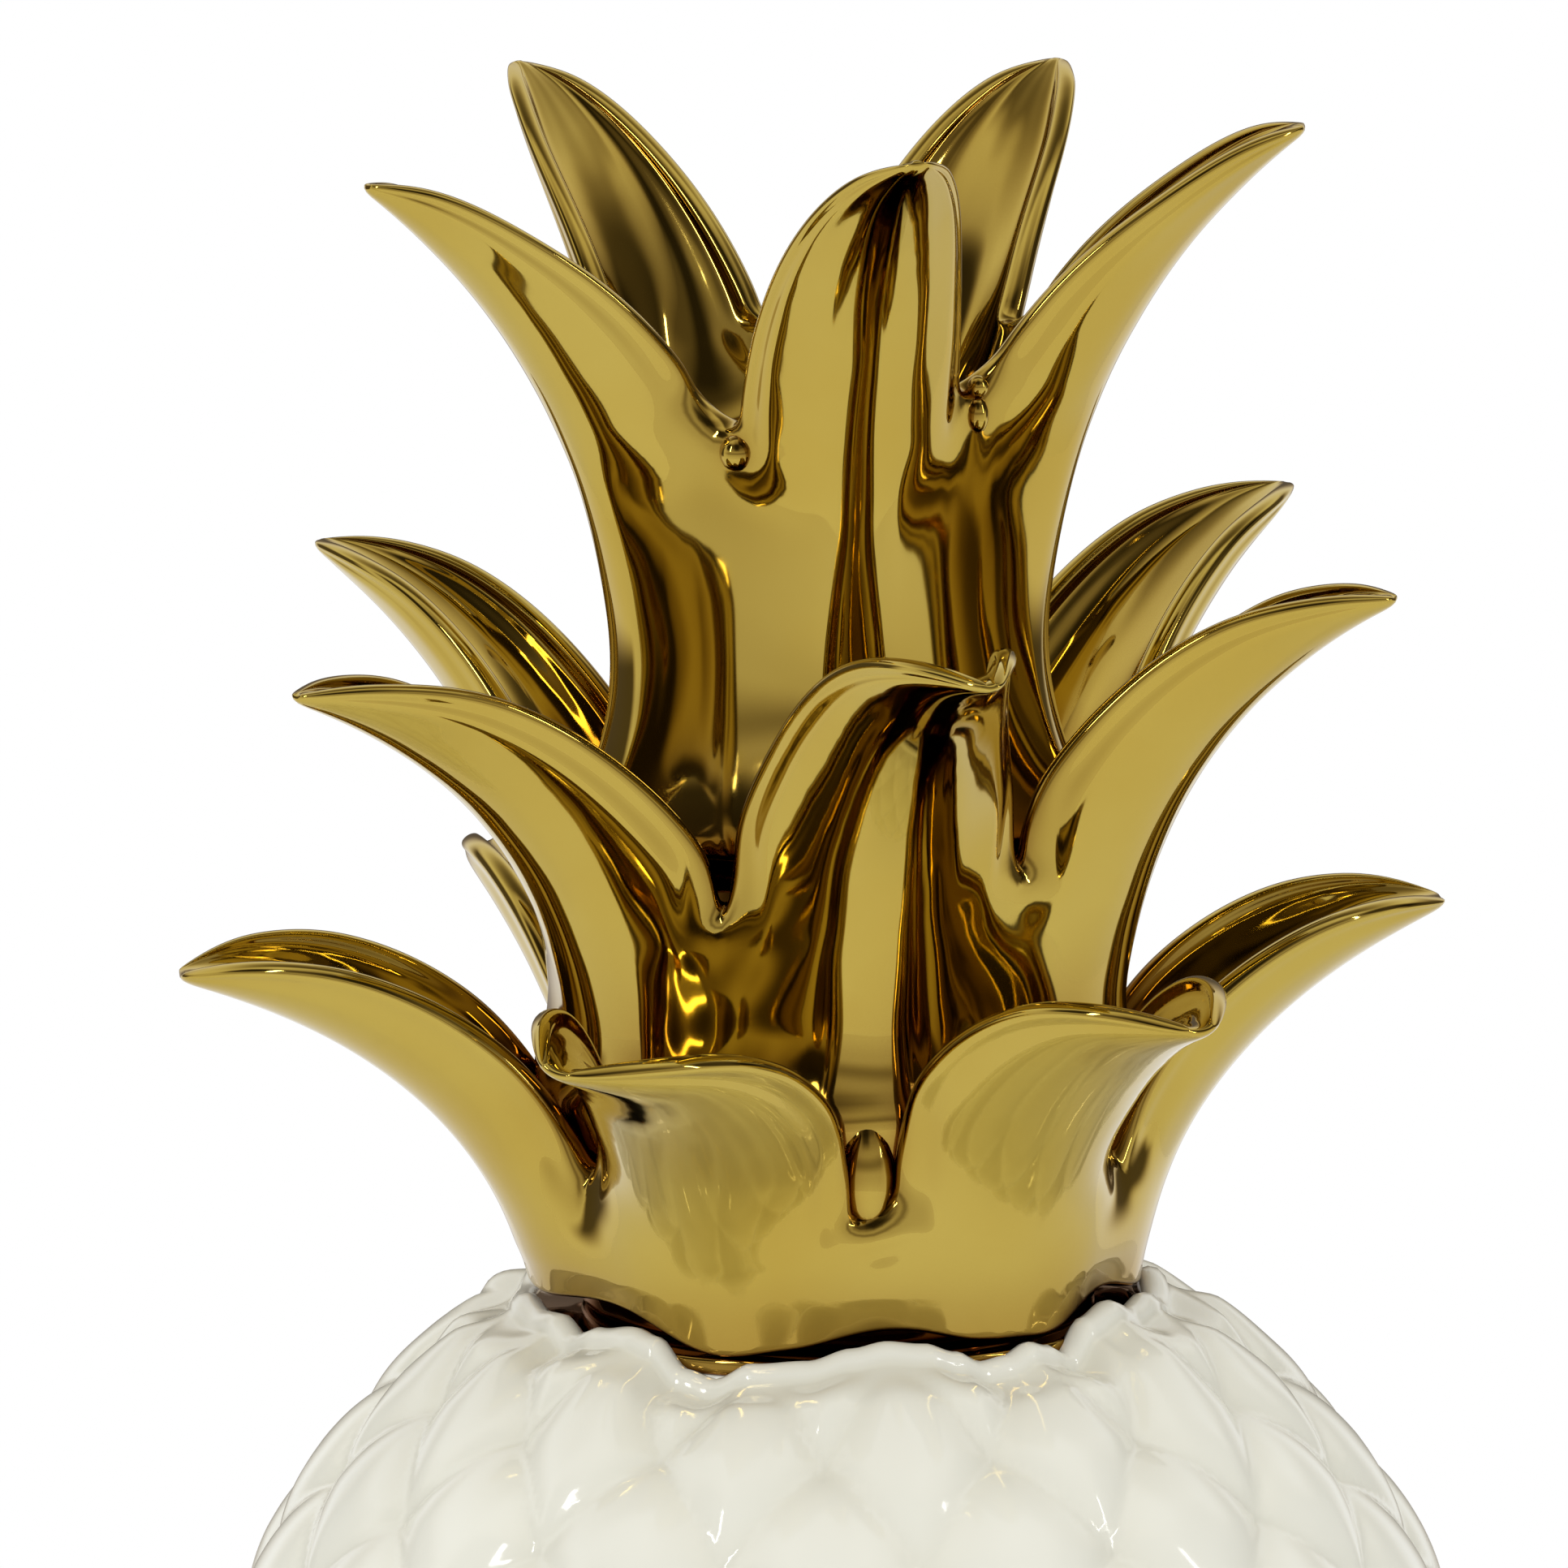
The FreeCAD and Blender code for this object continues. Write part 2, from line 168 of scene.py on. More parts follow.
# Outside: rows evenly spaced along the oval from the foot band up to the collar
fine = np.linspace(foot_band, jar_height, fine_steps)
run = np.hypot(np.diff(fine), np.diff(jar_radius(fine)))
length = np.concatenate([[0], np.cumsum(run)])
height = np.interp(np.linspace(0, length[-1], skin_rows), length, fine)
pitch = least_row + row_share * np.pi * jar_radius((fine[1:] + fine[:-1]) / 2) / scale_columns
travel = np.concatenate([[0], np.cumsum((run / pitch)[::-1])])[::-1]
row = np.interp(height, fine, travel) * round(travel[0]) / travel[0]
column = (np.degrees(heading) - scale_turn) * scale_columns / 360
swell = scale_swell(column[None], row[:, None])
fade = np.clip(row / faded_rows, 0, 1) * np.clip((row[0] - row) / faded_rows, 0, 1)
fade = eased(fade)[:, None]
radius = jar_radius(height)
slope_r, slope_z = np.gradient(radius), np.gradient(height)
size = np.hypot(slope_r, slope_z)
out_r, out_z = (slope_z / size)[:, None], (-slope_r / size)[:, None]
relief = scale_relief * swell * fade
near_collar = eased(np.clip(1 - row / collar_rows, 0, 1))[:, None]
skin_r = radius[:, None] + out_r * relief
skin_z = height[:, None] + out_z * relief + near_collar * (crown_z - jar_height - collar_lip + wave)

# Collar lip, seat, mouth, cavity and its floor, as rings inwards and down, then the underside and foot band
lip = np.radians(np.array([25, 60, 90, 120, 155]))[:, None]
lip_r = jar_neck_r - collar_lip + collar_lip * np.cos(lip) + 0 * wave
lip_z = crown_z - collar_lip + wave + collar_lip * np.sin(lip)
seat = ((seat_r, jar_height), (seat_r - 2, jar_height), (mouth_r + 1.2, jar_height),
        (mouth_r + 0.35, jar_height - 0.35), (mouth_r, jar_height - 1.2), (mouth_r, jar_height - jar_wall + 0.5))
cavity_z = np.linspace(jar_height - jar_wall, foot_recess + jar_wall + 3, cavity_rows)
cavity = [(max(r, mouth_r + 0.3), z) for r, z in zip(jar_radius(cavity_z) - jar_wall, cavity_z)]
floor_z = foot_recess + jar_wall
floor = ((jar_foot_r - 4, floor_z + 0.6), (jar_foot_r - 9, floor_z), (18, floor_z), (6, floor_z))
ring_out = jar_foot_r - foot_inset
ring_in = ring_out - foot_ring_width
under = np.array([(6, foot_recess), (18, foot_recess), (ring_in - 1, foot_recess), (ring_in, foot_recess - 0.6),
                  (ring_in + 0.6, 0.0), (ring_out - 0.6, 0.0), (ring_out, 0.8), (ring_out, foot_band - 1.0)])
inner = np.array(list(seat) + cavity + list(floor))
rings_r = np.concatenate([under[:, :1] + 0 * wave, skin_r, lip_r, inner[:, :1] + 0 * wave])
rings_z = np.concatenate([under[:, 1:] + 0 * wave, skin_z, lip_z, inner[:, 1:] + 0 * wave])
jar_grid = np.stack([rings_r * np.sin(heading), -rings_r * np.cos(heading), rings_z], axis=-1)
jar_points, jar_faces = closed_rings(jar_grid)
glaze = white_glaze()
jar = make_piece("glazed_jar", jar_points, jar_faces, glaze)
# Scale height share at each point, 1 on the scale tops and off the skin; it darkens the glaze colour in the grooves
on_scales = np.ones(len(jar_points))
on_scales[len(under) * jar_columns:(len(under) + skin_rows) * jar_columns] = (swell * fade).ravel()
jar.data.attributes.new("relief", "FLOAT", "POINT").data.foreach_set("value", on_scales.astype(np.float32))
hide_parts("jar_body")
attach(jar, "jar")


# ---- The lid's flange and core ----
# The flange is a thrown ring that rests on the jar's seat, with a short spigot below it. The core stands on
# it, a hollow stepped drum that the leaves are luted to. Both are under the gold lustre of the whole crown.

def gold_lustre():
    """Fired gold lustre: a mirror film, a little rippled by the brush and the glaze under it, browner where
    it ran thin, and with painted shade: dark brown where ambient occlusion finds nooks."""
    material = bpy.data.materials.new("gold_lustre")
    material.use_nodes = True
    nodes = material.node_tree.nodes
    place = nodes.new("ShaderNodeTexCoord").outputs["Object"]
    film = feed(nodes.new("ShaderNodeTexNoise"), {"Vector": place, "Scale": 28, "Detail": 4}).outputs["Fac"]
    tint = feed(nodes.new("ShaderNodeValToRGB"), {"Fac": film})
    tint.color_ramp.elements[0].position = 0.30
    tint.color_ramp.elements[0].color = (0.48, 0.335, 0.058, 1)
    tint.color_ramp.elements[1].position = 0.62
    tint.color_ramp.elements[1].color = (0.51, 0.378, 0.080, 1)
    # Painted shade: the colour turns dark brown where ambient occlusion finds nooks, standing in for light lost
    # between the leaves
    nook_occlusion = feed(nodes.new("ShaderNodeAmbientOcclusion"), {"Distance": 0.013})
    nook_occlusion.samples = 4
    unshaded_share = feed(nodes.new("ShaderNodeMapRange"),
                      {"Value": nook_occlusion.outputs["AO"], "From Min": 0.30, "From Max": 0.95})
    painted_nook_shade = nodes.new("ShaderNodeMix")
    painted_nook_shade.data_type = "RGBA"
    feed(painted_nook_shade, {"Factor": unshaded_share.outputs["Result"], "A": (0.22, 0.088, 0.012, 1), "B": tint.outputs["Color"]})
    haze = feed(nodes.new("ShaderNodeMapRange"), {"Value": film, "To Min": 0.035, "To Max": 0.075})
    sway = feed(nodes.new("ShaderNodeTexNoise"), {"Vector": place, "Scale": 42, "Detail": 1})
    swell = feed(nodes.new("ShaderNodeBump"), {"Height": sway.outputs["Fac"], "Strength": 0.5, "Distance": 0.0014})
    stretch = feed(nodes.new("ShaderNodeMapping"), {"Vector": place, "Scale": (1.0, 1.0, 0.22)})
    ripple = feed(nodes.new("ShaderNodeTexNoise"), {"Vector": stretch.outputs["Vector"], "Scale": 130, "Detail": 2})
    bump = feed(nodes.new("ShaderNodeBump"), {"Height": ripple.outputs["Fac"], "Strength": 0.10, "Distance": 0.0006,
                                              "Normal": swell.outputs["Normal"]})
    feed(nodes["Principled BSDF"], {"Metallic": 1, "Base Color": painted_nook_shade.outputs["Result"],
                                    "Roughness": haze.outputs["Result"], "Normal": bump.outputs["Normal"]})
    return material


def turned_ring(name, outline, columns, material):
    """A closed outline of (radius, height) pairs, anticlockwise, carried once round the jar's axis."""
    heading = np.arange(columns) * 2 * np.pi / columns
    radius, height = np.array(list(outline) + [outline[0]]).T
    grid = np.stack([radius[:, None] * np.sin(heading), -radius[:, None] * np.cos(heading),
                     height[:, None] + 0 * heading], axis=-1)
    numbers = np.array(ring_faces(len(radius), columns)) % ((len(radius) - 1) * columns)
    return make_piece(name, grid[:-1].reshape(-1, 3), numbers.tolist(), material)


def softened(corners, radius, steps=4):
    """Each corner of a closed outline cut back by the radius and rounded by a quadratic curve of equal steps."""
    corners = np.array(corners, float)
    before, after = np.roll(corners, 1, axis=0), np.roll(corners, -1, axis=0)

    def towards(other):
        way = other - corners
        reach = np.linalg.norm(way, axis=1, keepdims=True)
        return corners + way / reach * np.minimum(radius, reach * 0.45)

    first, last = towards(before)[:, None], towards(after)[:, None]
    part = np.linspace(0, 1, steps + 1)[None, :, None]
    bend = (1 - part) ** 2 * first + 2 * part * (1 - part) * corners[:, None] + part ** 2 * last
    return bend.reshape(-1, 2).tolist()


gold = gold_lustre()
ring_columns = 128
lid_play, spigot_wall, spigot_depth = 0.5, 4.0, 10.0
flange_r, spigot_r = seat_r - lid_play, mouth_r - lid_play
spigot_in, spigot_foot = spigot_r - spigot_wall, jar_height - spigot_depth
flange = turned_ring("lid_seat_ring", softened([
    (spigot_in, spigot_foot), (spigot_r, spigot_foot), (spigot_r, jar_height + 0.05), (flange_r, jar_height + 0.05),
    (flange_r, crown_z), (spigot_in, crown_z)], 0.6), ring_columns, gold)
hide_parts("lid_flange")
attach(flange, "crown_lid")

core_wall, middle_z, upper_z, cup_floor = 3.0, 186.0, 222.0, 18.0
core_r, core_middle_r, core_upper_r, shoulder = 29.1, 27.5, 20.6, 10.0
cup_z, core_in, core_upper_in = upper_z + cup_floor, core_middle_r - core_wall, core_upper_r - core_wall
core = turned_ring("hollow_core", softened([
    (core_r - core_wall - 1.6, crown_z + 0.1), (core_r, crown_z + 0.1), (core_r, middle_z),
    (core_middle_r, middle_z + 0.4), (core_middle_r, upper_z - shoulder), (core_upper_r, upper_z),
    (core_upper_r, cup_z - 2), (14.0, cup_z), (0.05, cup_z - 1), (0.05, cup_z - core_wall - 1),
    (13.0, cup_z - core_wall), (core_upper_in, cup_z - core_wall - 2), (core_upper_in, upper_z - core_wall),
    (core_in, upper_z - shoulder - core_wall)], 1.2), ring_columns, gold)
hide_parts("crown_core")
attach(core, "crown_lid")


# ---- The lower petals ----
# Six broad leaves, press-moulded one by one, luted edge to edge round the core and bent outwards by hand
# while soft. Their rims are rolled, and the seam between two of them closes to a groove below the notch.

stations = np.array([0.0, 0.2, 0.4, 0.6, 0.8, 0.93, 1.0])


def between_stations(shares, s):
    """A smooth line through shares given at the stations: cubic pieces whose ends share their slope."""
    shares = np.array(shares)
    low = np.maximum(np.arange(len(stations)) - 1, 0)
    high = np.minimum(np.arange(len(stations)) + 1, len(stations) - 1)
    slopes = (shares[high] - shares[low]) / (stations[high] - stations[low])
    piece = np.clip(np.searchsorted(stations, s, side="right") - 1, 0, len(stations) - 2)
    step = stations[piece + 1] - stations[piece]
    t = (s - stations[piece]) / step
    value = shares[piece] * (1 + 2 * t) * (1 - t) ** 2 + shares[piece + 1] * t * t * (3 - 2 * t)
    return value + step * (slopes[piece] * t * (1 - t) ** 2 - slopes[piece + 1] * t * t * (1 - t))


def petal_keels(tier, s):
    """Radius and height of the keels at share s of their length, and their direction: cubic curves from the
    tube's foot to each tip, with two inner control points given as shares of the way out and up."""
    out = tier["reach"] * tier["reach_share"] - tier["tube_r"]
    up = tier["rise"] * tier["rise_share"]
    (out_1, up_1), (out_2, up_2) = tier["keel_shares"]
    sag = tier["sag_share"] * tier["rise"]
    ends_r = (0, out_1 * out, out_2 * out - sag / 2, out)
    ends_z = (0, up_1 * up, up_2 * up + sag, up)
    weights = ((1 - s) ** 3, 3 * s * (1 - s) ** 2, 3 * s * s * (1 - s), s ** 3)
    slopes = ((1 - s) ** 2, 2 * s * (1 - s), s * s)
    radius = tier["tube_r"] + sum(w * end for w, end in zip(weights, ends_r))
    height = tier["foot_z"] + sum(w * end for w, end in zip(weights, ends_z)) - tier["droop"] * s ** 12
    run_r = sum(w * (after - before) for w, before, after in zip(slopes, ends_r, ends_r[1:]))
    run_z = sum(w * (after - before) for w, before, after in zip(slopes, ends_z, ends_z[1:]))
    size = np.hypot(run_r, run_z)
    return radius, height, run_r / size, run_z / size


def petal_points(tier, s, u, depth_share):
    """Places on all petals of a tier. Square to the keel each section is a cupped arc: across it u goes from
    one rim (-1) to the other (1), and depth_share from the outside (0) to the inside (1) of the wall. Twist,
    turn and curl grow as s to the powers of 2, 1.5 and 5, so that they bend the tip and leave the foot."""
    radius, height, run_r, run_z = petal_keels(tier, s)
    half = between_stations(tier["width_shares"], s) * tier["width"] / 2 * tier["width_share"]
    cup = between_stations(tier["cup_shares"], s) * tier["cup"] * tier["cup_share"]
    depth = between_stations(tier["wall_shares"], s) * tier["wall"] * depth_share
    arc = np.radians(between_stations(tier["arc_angles"], s))
    side = half * np.sin(u * arc) / np.sin(arc) - depth * np.sin(u * arc)
    lift = cup * (1 - np.cos(u * arc)) / (1 - np.cos(arc)) + depth * np.cos(u * arc)
    twist = np.radians(tier["twist"]) * s ** 2
    side, lift = side * np.cos(twist) - lift * np.sin(twist), side * np.sin(twist) + lift * np.cos(twist)
    turn = tier["heading"] + np.radians(tier["tip_turn"]) * s ** 1.5 + np.radians(tier["curl"]) * s ** 5
    out = radius - lift * run_z
    return np.stack([tier["aside"] + out * np.sin(turn) + side * np.cos(turn),
                     side * np.sin(turn) - out * np.cos(turn), height + lift * run_r], axis=-1)


def off_seam(tier, s, u, depth_share):
    """How far past the seam plane towards the next petal a place lies, in millimetres, on the side of u's sign."""
    x, y, z = np.moveaxis(petal_points(tier, s, u, depth_share), -1, 0)
    x = x - tier["aside"]
    turn = np.arctan2(x, -y) - tier["heading"]
    turn = (turn + np.pi) % (2 * np.pi) - np.pi
    return (turn * np.sign(u) - np.pi / tier["count"]) * np.hypot(x, y)


def petal_tier(name, tier, bends, rows=26, below=9, columns=14, halvings=24):
    """One skin for a whole tier. Each petal is a grid of rows from foot to tip and columns from rim to rim,
    outside and inside. Below the notches neighbours share their seam points, above them a rolled rim joins
    the outside to the inside, and a subdivision surface smooths the whole. Each row of bends is one petal: its
    turn, twist and curl in degrees, its shares of the tier's measures, the droop of its tip in millimetres, and
    for the notch after it the web, the distance from the seam plane within which the rims still join, and the
    crease, the share of that height at which the notch is set."""
    count = len(bends)
    tier = dict(tier, count=count)
    keys = ("tip_turn", "reach_share", "rise_share", "sag_share", "twist", "width_share", "cup_share", "curl", "web",
            "crease", "droop")
    for key, values in zip(keys, np.array(bends, float).T):
        tier[key] = values[:, None, None]
    tier["heading"] = np.radians(tier["first_heading"] + np.arange(count) * 360 / count)[:, None, None]

    # Columns closer together at the rims, and each notch where the rims last lie past the webs
    even_share, crowded_share, scan_end, scan_steps = 0.45, 0.55, 0.8, 160
    spread = np.linspace(-1, 1, columns + 1)
    spread = (even_share * spread + crowded_share * np.sin(spread * np.pi / 2))[None, None]
    scan = np.linspace(0, scan_end, scan_steps + 1)[None, :, None]
    webs = {1.0: tier["web"], -1.0: np.roll(tier["web"], 1, axis=0)}
    past = [off_seam(tier, scan, np.full((1, 1, 1), side), 0.0)[..., 0] > -webs[side][..., 0]
            for side in (-1.0, 1.0)]
    notch = [scan.ravel()[np.where(over.any(1), over.shape[1] - 1 - over[:, ::-1].argmax(1), 0)] for over in past]
    notch_left = notch[0][:, None, None] * np.roll(tier["crease"], 1, axis=0)
    notch_right = notch[1][:, None, None] * tier["crease"]
    notch_at = notch_left + (notch_right - notch_left) * (spread + 1) / 2
    step = np.arange(rows + 1)[None, :, None]
    above = (step - below) / (rows - below)
    s = np.where(step <= below, notch_at * step / below, notch_at + (1 - notch_at) * above)

    # A ridge along each keel, a hollow along each flank and a groove inside each rim, as shares of the wall
    ridge, hollow, groove = tier["relief"]
    keel_width, flank, flank_width, rim, rim_width = 0.2, 0.60, 0.15, 0.92, 0.03
    keel_fade, rim_fade = 5, 2
    along = np.clip((step - below + tier["relief_from"]) / keel_fade, 0, 1) * np.clip((rows - step) / keel_fade, 0, 1)
    rimmed = np.clip((step - below) / rim_fade, 0, 1) * np.clip((rows - step) / rim_fade, 0, 1)
    hollows = hollow * np.exp(-((np.abs(spread) - flank) / flank_width) ** 2)
    relief = along * (hollows - ridge * np.exp(-(spread / keel_width) ** 2))
    relief = relief + rimmed * groove * np.exp(-((np.abs(spread) - rim) / rim_width) ** 2)
    waved_rows, fill_from, fill_ramp, widest = 5, 0.15, 0.6, 1.3
    seam_gain, seam_fade, ease_share = 2.4, 4, 0.6

    def sheet(depth_share):
        """The outside or inside grid, its rims brought to or kept clear of the seam plane by halving, its foot
        waved, flared and filled out along the seams, and its shared rows eased round the tube."""
        reach = []
        for side, edge in ((-1.0, 0), (1.0, columns)):
            edge_web = np.where(step < below, 0.0, webs[side])
            low, high = np.zeros((count, rows + 1, 1)), np.full((count, rows + 1, 1), widest)
            for _ in range(halvings):
                middle = (low + high) / 2
                past = off_seam(tier, s[:, :, edge:edge + 1], middle * side, depth_share) > -edge_web
                low, high = np.where(past, low, middle), np.where(past, middle, high)
            reach.append(np.where(step < below, middle, np.minimum(middle, 1.0)))
        u = spread * np.where(spread < 0, reach[0], reach[1])
        points = petal_points(tier, s, u, depth_share + relief * (1 - 2 * depth_share))
        outwards = points[..., :2] - (tier["aside"], 0)
        outwards /= np.linalg.norm(outwards, axis=-1, keepdims=True)
        if "foot_waves" in tier:
            turned = np.degrees(np.arctan2(points[..., 0], -points[..., 1]))
            points[..., 2] += wavy_edge(tier["foot_waves"], turned) * np.clip(1 - step / waved_rows, 0, 1)
        if "foot_flare" in tier:
            flare = np.zeros((rows + 1, 2))
            flare[:len(tier["foot_flare"])] = tier["foot_flare"]
            points[..., :2] += outwards * flare[:, None, :1]
            points[..., 2] -= flare[:, 1:]
        if "seam_fill" in tier:
            after = np.array(tier["seam_fill"])[:, None, None]
            pushed = np.zeros((rows + 1, 1))
            pushed[:len(tier["fill_rows"]), 0] = tier["fill_rows"]
            pushed = pushed * np.where(spread > 0, after, np.roll(after, 1, axis=0))
            pushed = pushed * np.clip((np.abs(spread) - fill_from) / fill_ramp, 0, 1)
            points[..., :2] += outwards * pushed[..., None]
        shared = (points[:, :below + 1, columns] + np.roll(points, -1, axis=0)[:, :below + 1, 0]) / 2
        points[:, :below + 1, columns] = shared
        points[:, :below + 1, 0] = np.roll(shared, 1, axis=0)
        near_seam = np.clip(seam_gain * np.abs(spread[0, :, :-1]) - tier["eased_from"], 0, 1)
        near_seam = near_seam * np.clip((below - step[0, :below]) / seam_fade, 0, 1)
        for _ in range(tier["passes"]):
            ring = points[:, :below, :-1].swapaxes(0, 1).reshape(below, count * columns, 3)
            towards_mean = (np.roll(ring, 1, axis=1) + np.roll(ring, -1, axis=1)) / 2 - ring
            ring = ring + ease_share * towards_mean * np.tile(near_seam, count)[..., None]
            points[:, :below, :-1] = ring.reshape(below, count, columns, 3).swapaxes(0, 1)
            points[:, :below, columns] = np.roll(points[:, :below, 0], -1, axis=0)
        return points, reach

    (outside, reach), (inside, reach_inside) = sheet(0.0), sheet(1.0)

    # Rolled rims: three points each, half way round a bead, which meet at a saddle in each notch
    share = s[:, below:]
    half = between_stations(tier["width_shares"], share) * tier["width"] / 2 * tier["width_share"]
    cup = between_stations(tier["cup_shares"], share) * tier["cup"] * tier["cup_share"]
    wall = between_stations(tier["wall_shares"], share) * tier["wall"]
    arc = np.radians(between_stations(tier["arc_angles"], share))
    stretch = arc * np.hypot(half / np.tan(arc), cup * np.sin(arc) / (1 - np.cos(arc)))
    round_over = np.radians([40, 90, 140])[None, None]
    beads = []
    for which, side, edge in ((0, -1.0, 0), (1, 1.0, columns)):
        over = (reach[which] + reach_inside[which])[:, below:] / 2
        over = over + np.sin(round_over) * tier["bead"] * wall[:, :, [edge]] / 2 / stretch[:, :, [edge]]
        beads.append(petal_points(tier, share[:, :, [edge]], side * over,
                                  0.5 - 0.5 * tier["bead"] * np.cos(round_over)))
    bead_left, bead_right = beads
    saddle = (bead_right[:, 0] + np.roll(bead_left, -1, axis=0)[:, 0]) / 2
    saddle[..., 2] += np.sin(round_over[0]) * tier["bead"] * wall[:, 0, -1:] / 2
    bead_right[:, 0] = saddle

    # Numbers: a petal's own points, with seam points taken from the petal before it
    size = (rows + 1) * (columns + 1)
    own = np.arange(count * size).reshape(count, rows + 1, columns + 1)
    outer = own.copy()
    outer[:, :below + 1, 0] = np.roll(own, 1, axis=0)[:, :below + 1, columns]
    inner = outer + count * size
    right = 2 * count * size + np.arange(bead_right[..., 0].size).reshape(bead_right.shape[:3])
    left = right + right.size
    left[:, 0] = np.roll(right, 1, axis=0)[:, 0]
    points = np.concatenate([outside.reshape(-1, 3), inside.reshape(-1, 3), bead_right.reshape(-1, 3),
                             bead_left.reshape(-1, 3)])

    def quads(a, b, c, d):
        """Faces of four corners, one for each place in four arrays of point numbers."""
        return np.stack([a, b, c, d], axis=-1).reshape(-1, 4).tolist()

    faces = quads(outer[:, :below, :-1], outer[:, :below, 1:], outer[:, 1:below + 1, 1:], outer[:, 1:below + 1, :-1])
    faces += quads(inner[:, :below, 1:], inner[:, :below, :-1], inner[:, 1:below + 1, :-1], inner[:, 1:below + 1, 1:])
    faces += quads(inner[:, 0, :-1], inner[:, 0, 1:], outer[:, 0, 1:], outer[:, 0, :-1])
    loop = np.concatenate([outer[:, below:], right, inner[:, below:, ::-1], left[:, :, ::-1]], axis=2)
    after = np.roll(loop, -1, axis=2)
    faces += quads(loop[:, :-1], after[:, :-1], after[:, 1:], loop[:, 1:])
    faces += quads(outer[:, -1, :-1], outer[:, -1, 1:], inner[:, -1, 1:], inner[:, -1, :-1])
    faces += np.concatenate([outer[:, -1, -1:], right[:, -1], inner[:, -1, -1:]], axis=1).tolist()
    faces += np.concatenate([inner[:, -1, :1], left[:, -1, ::-1], outer[:, -1, :1]], axis=1).tolist()

    # Only the points that a face uses are kept, and the faces are numbered anew
    used, numbers = np.unique(np.concatenate([np.ravel(face) for face in faces]), return_inverse=True)
    numbers = numbers.tolist()
    taken = 0
    kept = []
    for face in faces:
        kept.append(numbers[taken:taken + len(face)])
        taken += len(face)
    piece = make_piece(name, points[used], kept, gold)
    smooth = piece.modifiers.new("smooth", "SUBSURF")
    smooth.levels = 2
    smooth.render_levels = 2
    return piece


skirt_waves = ((-83, 2.8), (-75, 2.5), (-64, 2.9), (-53, 3.8), (-45, 4.3), (-38, 3.0), (-31, 0.8), (-25, -0.3),
               (-19, -0.1), (-10, 0.8), (-4, 0.7), (3, 2.3), (8, 3.8), (14, 2.8), (25, 1.1), (37, 0.7),
               (45, 0.1), (52, 2.7), (60, 4.9), (66, 3.6), (74, 1.8), (98, 0.3), (112, 1.2), (127, 4.0),
               (140, 1.3), (157, 0.2), (172, 1.0), (187, 4.0), (200, 1.2), (217, 0.4), (232, 1.4), (247, 4.2),
               (262, 2.2))
lower_tier = dict(
    foot_z=crown_z, aside=-0.5, tube_r=34.6, reach=72.0, rise=40.0, width=38.0, cup=12.0, wall=5.5,
    first_heading=-23.0, foot_waves=skirt_waves, bead=1.25, relief=(0.0, 0.0, 0.16), relief_from=9,
    eased_from=1.2, passes=10,
    keel_shares=((0.028, 0.325), (0.29, 0.75)),
    width_shares=(0.90, 1.00, 0.80, 0.80, 0.68, 0.44, 0.10),
    cup_shares=(0.58, 0.71, 0.86, 0.92, 0.75, 0.38, 0.04),
    wall_shares=(1.00, 0.85, 0.65, 0.58, 0.51, 0.45, 0.25),
    arc_angles=(45.0, 45.0, 54.0, 62.0, 68.0, 62.0, 50.0))
lower_bends = (
    (0.4, 0.977, 0.960, 0.00, -14.0, 1.0, 0.90, -3.0, 4.4, 0.56, 0),
    (-1.7, 0.966, 1.022, 0.03, 1.0, 1.0, 0.92, 0.0, 0.4, 1.0, 0),
    (2.0, 0.979, 1.050, 0.020, 0.0, 1.0, 0.79, 0.0, 0.8, 1.0, 0),
    (0.5, 1.000, 1.020, 0.00, 0.0, 1.0, 1.0, 0.0, 0.8, 1.0, 0),
    (-0.6, 0.945, 1.030, 0.04, 0.0, 0.90, 1.0, 0.0, 2.4, 1.0, 0),
    (0.3, 1.023, 0.970, 0.035, 0.0, 1.0, 0.87, 0.0, 0.4, 1.0, 0))
lower_petals = petal_tier("lower_petals", lower_tier, lower_bends)
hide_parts(*["lower_leaf_" + str(number + 1) for number in range(6)])
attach(lower_petals, "crown_lid")


# ---- The middle petals ----
# Six narrower leaves on the core's first ledge, set between the lower ones and bent out less.

middle_tier = dict(
    foot_z=middle_z, aside=0.0, tube_r=32.0, reach=70.0, rise=62.0, width=37.0, cup=10.5, wall=4.5,
    first_heading=8.0, bead=1.3, relief=(0.12, 0.16, 0.16), relief_from=9, eased_from=1.2, passes=16,
    foot_flare=((1.2, 0.5), (1.6, 0), (2.8, 0.2), (1.3, 0), (0.4, 0)),
    keel_shares=((0.0, 0.45), (0.29, 0.82)),
    width_shares=(0.92, 1.00, 0.89, 0.71, 0.52, 0.31, 0.06),
    cup_shares=(0.52, 0.76, 1.00, 0.95, 0.71, 0.32, 0.04),
    wall_shares=(1.00, 0.85, 0.75, 0.67, 0.58, 0.50, 0.30),
    arc_angles=(40.0, 45.0, 66.0, 76.0, 78.0, 70.0, 55.0))
middle_bends = (
    (4.2, 0.975, 1.006, 0.016, 2.0, 1.0, 0.96, 2.2, 2.6, 0.74, 1.8),
    (-0.1, 0.960, 1.014, -0.015, 0.0, 1.0, 0.95, 0.0, 2.4, 0.78, 0),
    (1.4, 0.980, 1.040, -0.020, 0.0, 1.0, 0.86, 0.0, 2.4, 0.78, 0),
    (0.0, 0.971, 1.000, 0.00, 0.0, 1.0, 1.0, 0.0, 2.4, 0.78, 0),
    (-3.4, 0.927, 0.994, -0.015, 0.0, 0.96, 0.83, 0.0, 2.4, 0.78, 0),
    (-2.4, 1.034, 0.905, -0.018, 4.0, 1.0, 0.96, 0.0, 2.6, 0.74, 0))
middle_petals = petal_tier("middle_petals", middle_tier, middle_bends)
